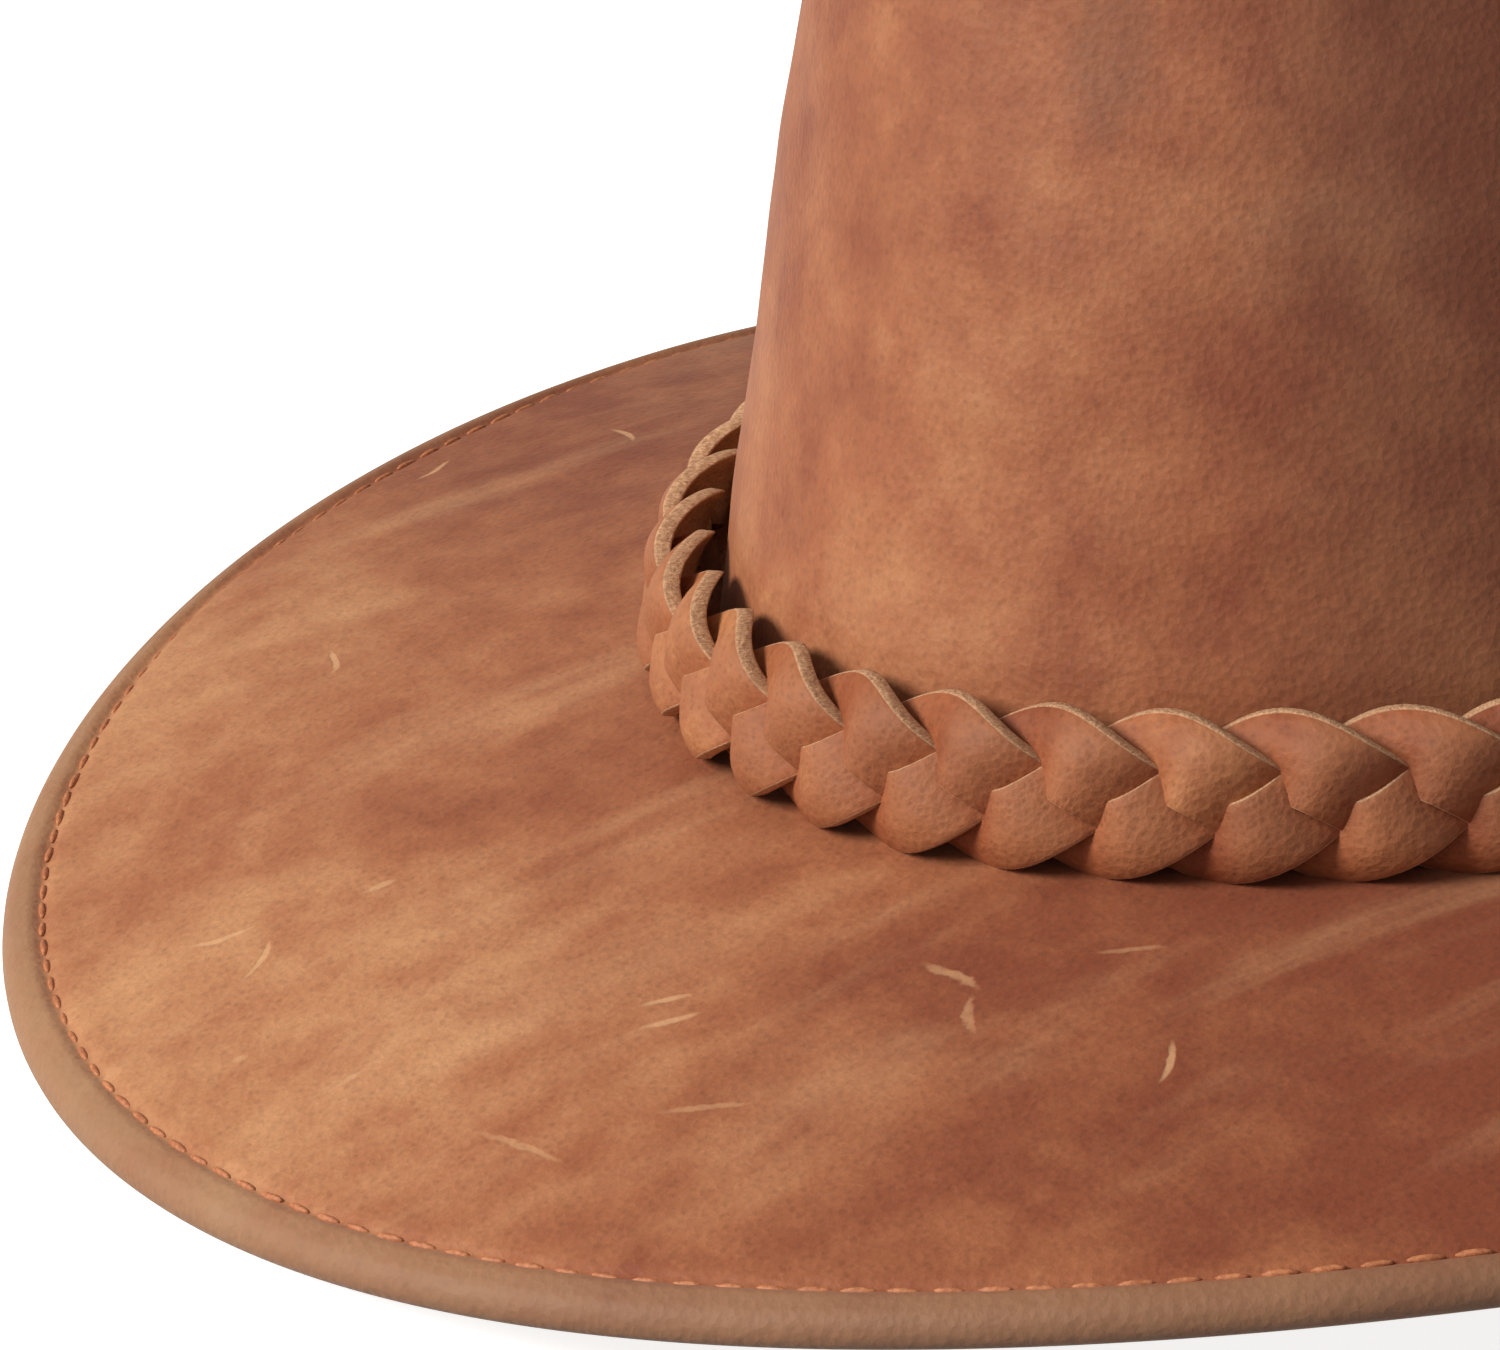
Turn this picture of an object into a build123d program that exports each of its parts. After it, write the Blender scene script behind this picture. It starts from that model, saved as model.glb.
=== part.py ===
"""Leather cowboy hat with a braided hat band.

Millimetres. +Z is up and the front of the hat is -Y, so +X is the wearer's left. The origin is
under the middle of the hat, on the surface that the front and back of the brim stand on.
"""

import os
from math import cos, exp, hypot, pi, sin

from build123d import *

# Head opening: the sweatband's inner oval, level with the middle of the brim.
head_half_width = 81.3
head_half_length = 98.2

# Leather layers, and the gap that thread and glue take up between them.
fit_gap = 0.1
collar_gap = 0.2
crown_leather = 1.8
collar_thickness = 1.2
sweatband_thickness = 1.2
brim_top_thickness = 1.8
brim_under_thickness = 1.4
hem_thickness = 1.2

# Crown: the wall leans in and bows as it rises, and its sides are dented near the front.
crown_height = 118.0
wall_lean = 0.125
wall_bow = 0.048
bow_start = 40.0
crown_slope = 0.04
shoulder_drop = 9.0
tip_thickness = 1.8
crease_depth = 25.0
crease_half_width = 21.0
crease_half_length = 66.0
dent_depth = 15.0
dent_start = 66.0
dent_centre = -26.0
dent_half_length = 40.0

# Brim.
brim_half_width = 167.3
brim_half_length = 194.1
front_drop = 38.8
side_drop = 10.8
collar_height = 9.0

# Hemmed rim, with a wire in it.
hem_edge = 1.5
hem_width = 8.0
wire_size = 1.6
wire_gap = 1.0

# Sweatband and the crown's back seam.
sweatband_height = 32.0
reed_thickness = 1.4
reed_height = 3.0
seam_slit = 0.4
join_tab_width = 18.0
join_tab_height = 16.0
join_tab_foot = 12.0
join_tab_thickness = 1.0
seam_tape_width = 14.0
seam_tape_thickness = 1.0
seam_tape_margin = 6.0

# Thread.
thread_width = 0.9
thread_height = 0.5
thread_lift = 0.2
stitch_length = 3.6
stitch_pitch = 4.9
rim_stitch_inset = 5.0
tip_stitch_drop = 3.5
headline_rise = 6.0
back_row_offset = 3.5
back_row_foot = 28.0

# Braided band round the foot of the crown.
band_foot = 1.3
band_gap = 2.6
band_height = 20.0
braid_thickness = 7.6
strand_count = 3

# Leather keeper round the joined ends of the braid, at the back.
keeper_length = 17.0
keeper_thickness = 0.8

# Worked out from the sizes above: how far each layer's outer face is inset from the crown's.
collar_inset = crown_leather + collar_gap
sweatband_inset = collar_inset + collar_thickness + fit_gap
head_inset = sweatband_inset + sweatband_thickness
lining_inset = head_inset + fit_gap
band_inset = -band_gap
band_outset = band_inset - braid_thickness
crown_half_width = head_half_width + head_inset
crown_half_length = head_half_length + head_inset
under_top = brim_top_thickness + fit_gap
under_foot = under_top + brim_under_thickness
hem_top = under_foot + fit_gap
brim_depth = hem_top + hem_thickness
wire_inset = hem_edge + fit_gap
under_inset = wire_inset + wire_size + fit_gap
brim_level = front_drop + brim_depth
tip_half_width = crown_half_width - crown_height * wall_lean
tip_half_length = crown_half_length - crown_height * wall_lean
cone_level = 1.5 * sweatband_height
far = 3 * brim_half_length
turn_step = 0.01
section_points = 32
crown_shares = (0.0, 0.17, 0.33, 0.55, 0.72, 0.86, 1.04)


def brim_height(x, y):
    """Height of the brim's upper face: highest in the middle and lowest at the front and back."""
    return brim_level - side_drop * (x / brim_half_width) ** 2 - front_drop * (y / brim_half_length) ** 2


def lean(level):
    """How far the wall has leaned in at a level above the middle of the brim."""
    return wall_lean * level + wall_bow * max(level - bow_start, 0) ** 2 / 100


def side_dent(y, level):
    """How far the dents in both sides push the wall in."""
    share = max((level - dent_start) / (crown_height - dent_start), 0)
    return dent_depth * share**1.5 * exp(-(((y - dent_centre) / dent_half_length) ** 2))


def wall_half_sizes(level, inset):
    """Half width and half length of the wall, or of a layer inset from it, without the dents."""
    return (crown_half_width - lean(level) - inset, crown_half_length - lean(level) - inset)


def wall_point(turn, level, inset=0.0):
    """Plan position of a point on the wall, or on a layer inset from it."""
    half_x, half_y = wall_half_sizes(level, inset)
    y = half_y * sin(turn)
    return ((half_x - side_dent(y, level)) * cos(turn), y)


def rim_height(y):
    """Height of the wall's upper edge."""
    return brim_level + crown_height - shoulder_drop + crown_slope * y


def tip_height(x, y):
    """Height of the tip: a rounded shoulder at its edge and a crease along its middle."""
    edge = crown_half_width - lean(crown_height) - side_dent(y, crown_height)
    reach = hypot(x / edge, y / (crown_half_length - lean(crown_height)))
    crease = crease_depth * exp(-((x / crease_half_width) ** 2) - (y / crease_half_length) ** 6)
    return rim_height(y) + shoulder_drop * (1 - reach**4) - crease


def height_sheet(height, half_x, half_y, spans):
    """A smooth face over the plan's +X half, at the heights that a function gives."""
    across = [half_x * step / spans for step in range(spans + 1)]
    along = [half_y * (step / spans - 1) for step in range(2 * spans + 1)]
    rows = [[Vector(x, y, height(x, y)) for y in along] for x in across]
    return Face.make_surface_from_array_of_points(rows, tol=0.01)


def crown_volume(inset):
    """The space inside the crown's outer face, or inside a layer inset from it."""
    turns = [2 * pi * step / section_points for step in range(section_points)]
    with BuildPart(mode=Mode.PRIVATE) as volume:
        for level in [-brim_level] + [crown_height * share for share in crown_shares]:
            with BuildSketch(Plane.XY.offset(brim_level + level)):
                with BuildLine():
                    Spline(*[wall_point(turn, level, inset) for turn in turns], periodic=True)
                make_face()
        loft()
    return volume.part


def wall_cone(inset):
    """The same space round the foot of the crown alone, where the wall is a plain oval cone."""
    with BuildPart(mode=Mode.PRIVATE) as cone:
        for level in (-brim_level, cone_level):
            with BuildSketch(Plane.XY.offset(brim_level + level)):
                Ellipse(*wall_half_sizes(level, inset))
        loft(ruled=True)
    return cone.part


def slab(bottom, top):
    """The space between two heights above the brim's upper face."""
    half_x = brim_half_width * 1.1
    half_y = brim_half_length * 1.1
    across = side_drop * (half_x / brim_half_width) ** 2
    along = front_drop * (half_y / brim_half_length) ** 2
    middle = brim_level + bottom + across + along
    rise = [[middle - 2 * (across * abs(u) + along * abs(v)) for v in (-1, 0, 1)] for u in (-1, 0, 1)]
    points = [[Vector((u - 1) * half_x, (v - 1) * half_y, rise[u][v]) for v in range(3)] for u in range(3)]
    with BuildPart(mode=Mode.PRIVATE) as space:
        extrude(Face.make_bezier_surface(points), amount=top - bottom, dir=(0, 0, 1))
    return space.part


def rim_ring(outer_inset, inner_inset, depth, thickness):
    """A strip of the brim between two ovals, at a depth below its upper face."""
    with BuildPart(mode=Mode.PRIVATE) as ring:
        add(slab(-depth - thickness, -depth))
        with BuildSketch():
            Ellipse(brim_half_width - outer_inset, brim_half_length - outer_inset)
            Ellipse(brim_half_width - inner_inset, brim_half_length - inner_inset, mode=Mode.SUBTRACT)
        extrude(amount=far, mode=Mode.INTERSECT)
    return ring.part


def back_slice(width):
    """A slice through the back of the hat, as wide as a strip or a gap there."""
    with BuildPart(mode=Mode.PRIVATE) as space:
        with BuildSketch():
            Rectangle(width, far, align=(Align.CENTER, Align.MIN))
        extrude(amount=far)
    return space.part


def wall_plane(turn, height, inset=0.0):
    """A plane on the wall, or on a layer inset from it, with X along the wall and Z out of it."""
    level = height - brim_level
    before = Vector(*wall_point(turn - turn_step, level, inset), height)
    after = Vector(*wall_point(turn + turn_step, level, inset), height)
    here = Vector(*wall_point(turn, level, inset), height)
    up = Vector(*wall_point(turn, level + 1, inset), height + 1) - here
    return Plane(here, x_dir=after - before, z_dir=(after - before).cross(up))


def brim_point(turn, inset):
    """A point on the brim's upper face, at a distance in from the rim."""
    x = (brim_half_width - inset) * cos(turn)
    y = (brim_half_length - inset) * sin(turn)
    return Vector(x, y, brim_height(x, y))


def brim_plane(turn, inset):
    """A plane on the brim's upper face, with X along the rim and Z out of the face."""
    along = brim_point(turn + turn_step, inset) - brim_point(turn - turn_step, inset)
    out = brim_point(turn, inset - turn_step) - brim_point(turn, inset + turn_step)
    return Plane(brim_point(turn, inset), x_dir=along, z_dir=out.cross(along))


def stitch_turns(half_x, half_y):
    """Angles of stitches a pitch apart along an oval."""
    share = ((half_x - half_y) / (half_x + half_y)) ** 2
    length = pi * (half_x + half_y) * (1 + 3 * share / (10 + (4 - 3 * share) ** 0.5))
    count = round(length / stitch_pitch)
    turns = []
    turn = 0.0
    for _ in range(count):
        turns.append(turn)
        middle = turn + length / count / 2 / hypot(half_x * sin(turn), half_y * cos(turn))
        turn += length / count / hypot(half_x * sin(middle), half_y * cos(middle))
    return turns


tip_sheet = height_sheet(tip_height, tip_half_width, tip_half_length, 8)
wall_inside = crown_volume(crown_leather)
tip_space = crown_volume(collar_inset)
collar_outside = wall_cone(collar_inset)
collar_inside = wall_cone(collar_inset + collar_thickness)
head_space = wall_cone(lining_inset)

with BuildPart() as above_rim:
    with BuildSketch(Plane.YZ):
        with BuildLine():
            Polyline(
                (-far, rim_height(-far)),
                (far, rim_height(far)),
                (far, rim_height(far) + far),
                (-far, rim_height(-far) + far),
                close=True,
            )
        make_face()
    extrude(amount=far, both=True)

with BuildPart() as crown_side:
    add(crown_volume(0))
    add(wall_inside, mode=Mode.SUBTRACT)
    add(slab(-far, fit_gap), mode=Mode.SUBTRACT)
    add(above_rim.part, mode=Mode.SUBTRACT)
    add(back_slice(seam_slit), mode=Mode.SUBTRACT)
crown_side.part.label = "crown_side"

with BuildPart() as crown_tip:
    extrude(tip_sheet, amount=tip_thickness, dir=(0, 0, -1))
    mirror(about=Plane.YZ)
    add(tip_space, mode=Mode.INTERSECT)
crown_tip.part.label = "crown_tip"

with BuildPart() as crown_seam_tape:
    add(tip_space)
    add(crown_volume(collar_inset + seam_tape_thickness), mode=Mode.SUBTRACT)
    add(slab(-far, collar_height + fit_gap), mode=Mode.SUBTRACT)
    add(above_rim.part.moved(Location((0, 0, -seam_tape_margin))), mode=Mode.SUBTRACT)
    add(back_slice(seam_tape_width), mode=Mode.INTERSECT)
crown_seam_tape.part.label = "crown_seam_tape"

with BuildPart() as tip_seam_stitches:
    with Locations(
        *[
            wall_plane(turn, rim_height(crown_half_length * sin(turn)) - tip_stitch_drop, -thread_lift)
            for turn in stitch_turns(tip_half_width, tip_half_length)
        ]
    ):
        Box(stitch_length, thread_width, thread_height, align=(Align.CENTER, Align.CENTER, Align.MIN))
tip_seam_stitches.part.label = "tip_seam_stitches"

with BuildPart() as back_seam_stitches:
    rows = int((crown_height - shoulder_drop - back_row_foot) / stitch_pitch)
    with Locations(
        *[
            wall_plane(
                pi / 2 + side * back_row_offset / crown_half_width,
                brim_level + back_row_foot + row * stitch_pitch,
                -thread_lift,
            )
            for side in (-1, 1)
            for row in range(rows)
        ]
    ):
        Box(thread_width, stitch_length, thread_height, align=(Align.CENTER, Align.CENTER, Align.MIN))
back_seam_stitches.part.label = "back_seam_stitches"

with BuildPart() as sweatband:
    add(wall_cone(sweatband_inset))
    add(wall_cone(head_inset), mode=Mode.SUBTRACT)
    add(slab(0, sweatband_height), mode=Mode.INTERSECT)
    add(back_slice(seam_slit), mode=Mode.SUBTRACT)
sweatband.part.label = "sweatband"

with BuildPart() as sweatband_reed:
    add(head_space)
    add(wall_cone(lining_inset + reed_thickness), mode=Mode.SUBTRACT)
    add(slab(0, reed_height), mode=Mode.INTERSECT)
sweatband_reed.part.label = "sweatband_reed"

with BuildPart() as sweatband_join_tab:
    add(head_space)
    add(wall_cone(lining_inset + join_tab_thickness), mode=Mode.SUBTRACT)
    add(slab(join_tab_foot, join_tab_foot + join_tab_height), mode=Mode.INTERSECT)
    add(back_slice(join_tab_width), mode=Mode.INTERSECT)
sweatband_join_tab.part.label = "sweatband_join_tab"

with BuildPart() as headline_stitches:
    with Locations(
        *[
            wall_plane(
                turn,
                brim_height(head_half_width * cos(turn), head_half_length * sin(turn)) + headline_rise,
                lining_inset,
            )
            for turn in stitch_turns(head_half_width, head_half_length)
        ]
    ):
        Box(stitch_length, thread_width, thread_height, align=(Align.CENTER, Align.CENTER, Align.MAX))
headline_stitches.part.label = "headline_stitches"

with BuildPart() as brim_top:
    add(slab(-brim_top_thickness, 0))
    with BuildSketch():
        Ellipse(brim_half_width, brim_half_length)
    extrude(amount=far, mode=Mode.INTERSECT)
    add(collar_outside, mode=Mode.SUBTRACT)
    with BuildPart(mode=Mode.PRIVATE) as collar:
        add(collar_outside)
        add(collar_inside, mode=Mode.SUBTRACT)
        add(slab(-brim_top_thickness, collar_height), mode=Mode.INTERSECT)
    add(collar.part)
    add(rim_ring(0, hem_width, brim_top_thickness, brim_depth - brim_top_thickness))
    hem_space = rim_ring(hem_edge, 2 * hem_width, brim_top_thickness, hem_top - brim_top_thickness)
    add(hem_space, mode=Mode.SUBTRACT)
brim_top.part.label = "brim_top"

with BuildPart() as brim_under:
    add(slab(-under_foot, -under_top))
    with BuildSketch():
        Ellipse(brim_half_width - under_inset, brim_half_length - under_inset)
    extrude(amount=far, mode=Mode.INTERSECT)
    add(collar_inside, mode=Mode.SUBTRACT)
brim_under.part.label = "brim_under"

with BuildPart() as brim_wire:
    add(rim_ring(wire_inset, wire_inset + wire_size, under_top, brim_under_thickness))
    add(back_slice(wire_gap), mode=Mode.SUBTRACT)
brim_wire.part.label = "brim_wire"

with BuildPart() as rim_stitches:
    rim_turns = stitch_turns(brim_half_width - rim_stitch_inset, brim_half_length - rim_stitch_inset)
    with Locations(*[brim_plane(turn, rim_stitch_inset) for turn in rim_turns]):
        Box(stitch_length, thread_width, thread_height, align=(Align.CENTER, Align.CENTER, Align.MIN))
rim_stitches.part.label = "rim_stitches"

strands = []
strand_height = (band_height + fit_gap) / strand_count
for index in range(strand_count):
    with BuildPart() as strand:
        add(wall_cone(band_outset))
        add(wall_cone(band_inset), mode=Mode.SUBTRACT)
        foot = band_foot + index * strand_height
        add(slab(foot, foot + strand_height - fit_gap), mode=Mode.INTERSECT)
        add(back_slice(seam_slit), mode=Mode.SUBTRACT)
    strand.part.label = f"braid_strand_{index + 1}"
    strands.append(strand)

with BuildPart() as band_keeper:
    add(wall_cone(band_outset - fit_gap - keeper_thickness))
    add(wall_cone(band_inset + fit_gap + keeper_thickness), mode=Mode.SUBTRACT)
    keeper_foot = band_foot - fit_gap
    keeper_head = band_foot + band_height + fit_gap
    add(slab(keeper_foot - keeper_thickness, keeper_head + keeper_thickness), mode=Mode.INTERSECT)
    add(back_slice(keeper_length), mode=Mode.INTERSECT)
    with BuildPart(mode=Mode.PRIVATE) as keeper_hollow:
        add(wall_cone(band_outset - fit_gap))
        add(wall_cone(band_inset + fit_gap), mode=Mode.SUBTRACT)
        add(slab(keeper_foot, keeper_head), mode=Mode.INTERSECT)
    add(keeper_hollow.part, mode=Mode.SUBTRACT)
band_keeper.part.label = "band_keeper"

pieces = [
    crown_side,
    crown_tip,
    crown_seam_tape,
    tip_seam_stitches,
    back_seam_stitches,
    sweatband,
    sweatband_reed,
    sweatband_join_tab,
    headline_stitches,
    brim_top,
    brim_under,
    brim_wire,
    rim_stitches,
    band_keeper,
]
os.makedirs("parts", exist_ok=True)
for piece in pieces + strands:
    export_step(piece.part, f"parts/{piece.part.label}.step")
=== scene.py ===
from math import cos, pi, radians, sin

import bpy
import numpy as np
from mathutils import Matrix, Vector


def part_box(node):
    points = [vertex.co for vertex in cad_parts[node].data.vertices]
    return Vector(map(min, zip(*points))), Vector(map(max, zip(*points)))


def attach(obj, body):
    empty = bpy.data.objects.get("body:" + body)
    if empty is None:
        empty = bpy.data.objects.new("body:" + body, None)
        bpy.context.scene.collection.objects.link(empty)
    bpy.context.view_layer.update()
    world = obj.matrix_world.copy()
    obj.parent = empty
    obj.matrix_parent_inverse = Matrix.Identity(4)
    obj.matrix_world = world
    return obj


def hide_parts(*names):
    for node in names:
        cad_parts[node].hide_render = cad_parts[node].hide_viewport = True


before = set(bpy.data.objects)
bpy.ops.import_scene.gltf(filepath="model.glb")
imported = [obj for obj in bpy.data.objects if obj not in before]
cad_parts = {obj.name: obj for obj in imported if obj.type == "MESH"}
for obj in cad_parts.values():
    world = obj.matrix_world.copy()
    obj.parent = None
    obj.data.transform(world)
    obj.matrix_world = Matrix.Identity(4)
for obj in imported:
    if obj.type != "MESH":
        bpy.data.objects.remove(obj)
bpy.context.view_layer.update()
scene = bpy.context.scene
mm = 0.001
fourCorners = ((1, 1), (-1, 1), (-1, -1), (1, -1))

# The hat's own sizes in millimetres, the same as the frame's. Front is -Y.
hat = {
    "brimHalfWidth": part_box("brim_top")[1][0] / mm,
    "brimHalfLength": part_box("brim_top")[1][1] / mm,
    "frontDrop": 38.8,
    "sideDrop": 10.8,
    "brimDepth": 4.6,
    "crownHalfWidth": 85.8,
    "crownHalfLength": 102.7,
    "crownHeight": 118.0,
    "lean": 0.125,
    "bow": 0.048,
    "bowStart": 40.0,
    "slope": 0.04,
    "shoulder": 9.0,
    "creaseDepth": 25.0,
    "creaseHalfWidth": 21.0,
    "creaseHalfLength": 66.0,
    "dentDepth": 15.0,
    "dentStart": 66.0,
    "dentCentre": -26.0,
    "dentHalfLength": 40.0,
}
brimLevel = hat["frontDrop"] + hat["brimDepth"]


def brimHeight(x, y):
    across = hat["sideDrop"] * (x / hat["brimHalfWidth"]) ** 2
    return brimLevel - across - hat["frontDrop"] * (y / hat["brimHalfLength"]) ** 2


def leanAt(level):
    return hat["lean"] * level + hat["bow"] * np.maximum(level - hat["bowStart"], 0) ** 2 / 100


def dentAt(y, level):
    share = np.clip((level - hat["dentStart"]) / (hat["crownHeight"] - hat["dentStart"]), 0, 1)
    away = (y - hat["dentCentre"]) / hat["dentHalfLength"]
    return hat["dentDepth"] * share**1.5 * np.exp(-(away**2))


# x, y of the crown's wall at a turn and a level above the middle of the brim.
def wallPoint(turn, level, inset=0.0):
    y = (hat["crownHalfLength"] - leanAt(level) - inset) * np.sin(turn)
    x = (hat["crownHalfWidth"] - leanAt(level) - inset - dentAt(y, level)) * np.cos(turn)
    return x, y


# x, y, z where the wall meets the brim, or a height above the brim there.
def wallFoot(turn, inset=0.0, rise=0.0):
    level = -hat["frontDrop"] * (hat["crownHalfLength"] * np.sin(turn) / hat["brimHalfLength"]) ** 2 + rise
    for _ in range(3):
        x, y = wallPoint(turn, level, inset)
        level = brimHeight(x, y) - brimLevel + rise
    return x, y, level + brimLevel


def rimHeight(y):
    return brimLevel + hat["crownHeight"] - hat["shoulder"] + hat["slope"] * y


def tipHeight(x, y):
    topLean = leanAt(hat["crownHeight"])
    edge = hat["crownHalfWidth"] - topLean - dentAt(y, hat["crownHeight"])
    reach = np.hypot(x / edge, y / (hat["crownHalfLength"] - topLean))
    hollow = (x / hat["creaseHalfWidth"]) ** 2 + (y / hat["creaseHalfLength"]) ** 6
    crease = hat["creaseDepth"] * np.exp(-hollow)
    return rimHeight(y) + hat["shoulder"] * (1 - reach**4) - crease


# Smooth made-up unevenness, about -1 to 1, from a few crossed sine waves.
def waves(points, size, seed):
    random = np.random.default_rng(seed)
    total = np.zeros(points.shape[:-1])
    for _ in range(7):
        way = random.normal(size=3)
        way /= np.linalg.norm(way)
        length = size * random.uniform(0.6, 1.6)
        total += np.sin(points @ way * 2 * pi / length + random.uniform(0, 2 * pi)) / 3.5
    return total


def stack(x, y, z):
    return np.stack(np.broadcast_arrays(x, y, z), axis=-1)


# Quads of a grid whose points are numbered row by row.
def gridFaces(rows, columns, wrapRows, wrapColumns):
    a = np.arange(rows if wrapRows else rows - 1)
    b = np.arange(columns if wrapColumns else columns - 1)
    a, b = np.meshgrid(a, b, indexing="ij")
    nextA = (a + 1) % rows
    nextB = (b + 1) % columns
    corners = [a * columns + b, nextA * columns + b, nextA * columns + nextB, a * columns + nextB]
    return np.stack(corners, axis=-1).reshape(-1, 4)


# Triangles that close both ends of a tube of rows.
def endCaps(rows, columns):
    b = np.arange(1, columns - 1)
    first = np.stack([0 * b, b, b + 1], axis=-1)
    return np.concatenate([first, (rows - 1) * columns + first[:, ::-1]])


# A smooth mesh object from points in millimetres, with its faces turned outward.
def makePiece(name, points, faces, attributes=(), fan=None, centre=(0, 0, 0)):
    fan = np.zeros((0, 3), dtype=int) if fan is None else fan
    first, second, third = (points[faces[:, i]] - np.array(centre) for i in (0, 1, 2))
    if np.einsum("ij,ij->i", first, np.cross(second - first, third - first)).sum() < 0:
        faces, fan = faces[:, ::-1], fan[:, ::-1]
    corners = np.concatenate([faces.ravel(), fan.ravel()])
    starts = np.concatenate([np.arange(0, faces.size, 4), faces.size + np.arange(0, fan.size, 3)])
    mesh = bpy.data.meshes.new(name)
    mesh.vertices.add(len(points))
    mesh.vertices.foreach_set("co", (np.asarray(points) * mm).astype(np.float32).ravel())
    mesh.loops.add(len(corners))
    mesh.loops.foreach_set("vertex_index", corners.astype(np.int32))
    mesh.polygons.add(len(starts))
    mesh.polygons.foreach_set("loop_start", starts.astype(np.int32))
    mesh.polygons.foreach_set("use_smooth", np.ones(len(starts), dtype=bool))
    mesh.update(calc_edges=True)
    mesh.validate()
    for key, values in attributes:
        kind, field = ("FLOAT_VECTOR", "vector") if values.ndim == 2 else ("FLOAT", "value")
        layer = mesh.attributes.new(key, kind, "POINT")
        layer.data.foreach_set(field, values.astype(np.float32).ravel())
    piece = bpy.data.objects.new(name, mesh)
    scene.collection.objects.link(piece)
    return piece


def finishPiece(piece, material, body, nodes=()):
    if material:
        piece.data.materials.append(material)
    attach(piece, body)
    if nodes:
        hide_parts(*nodes)


def applyModifiers(piece):
    graph = bpy.context.evaluated_depsgraph_get()
    mesh = bpy.data.meshes.new_from_object(piece.evaluated_get(graph))
    piece.modifiers.clear()
    piece.data = mesh


def addNode(tree, kind, settings=None, inputs=None):
    made = tree.nodes.new(kind)
    for key, value in (settings or {}).items():
        setattr(made, key, value)
    for key, value in (inputs or {}).items():
        source = value.socket if isinstance(value, Value) else value
        if isinstance(source, bpy.types.NodeSocket):
            tree.links.new(source, made.inputs[key])
        else:
            made.inputs[key].default_value = source
    return made


# Shader helpers: a value that does its own sums, and a material that makes any node in one call.
class Value:
    def __init__(self, tree, socket):
        self.tree = tree
        self.socket = socket

    def sum(self, operation, *others):
        maths = addNode(self.tree, "ShaderNodeMath", {"operation": operation}, dict(enumerate(others)))
        return Value(self.tree, maths.outputs[0])

    def __add__(self, other):
        return self.sum("ADD", self, other)

    def __mul__(self, other):
        return self.sum("MULTIPLY", self, other)

    def __sub__(self, other):
        return self.sum("SUBTRACT", self, other)

    def __rsub__(self, other):
        return self.sum("SUBTRACT", other, self)

    def __truediv__(self, other):
        return self.sum("DIVIDE", self, other)

    def __rtruediv__(self, other):
        return self.sum("DIVIDE", other, self)

    __radd__ = __add__
    __rmul__ = __mul__

    # 0 below low, 1 above high and smooth between.
    def ramp(self, low, high):
        inputs = {"Value": self, "From Min": low, "From Max": high}
        spread = addNode(self.tree, "ShaderNodeMapRange", {"interpolation_type": "SMOOTHSTEP"}, inputs)
        return Value(self.tree, spread.outputs["Result"])


class Finish:
    def __init__(self, name):
        self.material = bpy.data.materials.new(name)
        self.material.use_nodes = True
        self.tree = self.material.node_tree
        self.tree.nodes.clear()
        self.shader = self.node("ShaderNodeBsdfPrincipled")
        self.node("ShaderNodeOutputMaterial", None, {0: self.shader.outputs[0]})
        self.place = self.node("ShaderNodeTexCoord").outputs["Object"]

    def node(self, kind, settings=None, inputs=None):
        return addNode(self.tree, kind, settings, inputs)

    def value(self, socket):
        return Value(self.tree, socket)

    def attribute(self, name, output="Fac"):
        return self.node("ShaderNodeAttribute", {"attribute_name": name}).outputs[output]

    def parts(self, vector):
        split = self.node("ShaderNodeSeparateXYZ", None, {0: vector})
        return [self.value(output) for output in split.outputs]

    def stretched(self, place, scale, turn=0.0):
        inputs = {"Vector": place, "Scale": scale, "Rotation": (0, 0, turn)}
        return self.node("ShaderNodeMapping", None, inputs).outputs["Vector"]

    def noise(self, place, scale, detail=3.0, rough=0.5, warp=0.0):
        inputs = {"Vector": place, "Scale": scale, "Detail": detail, "Roughness": rough, "Distortion": warp}
        return self.value(self.node("ShaderNodeTexNoise", None, inputs).outputs[0])

    def cells(self, place, scale):
        made = self.node("ShaderNodeTexVoronoi", None, {"Vector": place, "Scale": scale})
        return self.value(made.outputs["Distance"])

    def mix(self, factor, first, second, blend="MIX"):
        first, second = ((*item, 1.0) if isinstance(item, tuple) else item for item in (first, second))
        settings = {"data_type": "RGBA", "blend_type": blend}
        made = self.node("ShaderNodeMix", settings, {0: factor, 6: first, 7: second})
        return made.outputs[2]

    # A colour made darker or lighter by a value.
    def shaded(self, colour, shade):
        greys = self.node("ShaderNodeCombineColor", None, {0: shade, 1: shade, 2: shade}).outputs[0]
        return self.mix(1.0, colour, greys, "MULTIPLY")

    def set(self, **inputs):
        for key, value in inputs.items():
            socket = self.shader.inputs[key.replace("_", " ")]
            source = value.socket if isinstance(value, Value) else value
            if isinstance(source, bpy.types.NodeSocket):
                self.tree.links.new(source, socket)
            else:
                socket.default_value = source

    def bump(self, height, distance, strength=1.0):
        inputs = {"Height": height, "Distance": distance, "Strength": strength}
        return self.node("ShaderNodeBump", None, inputs).outputs[0]


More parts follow.
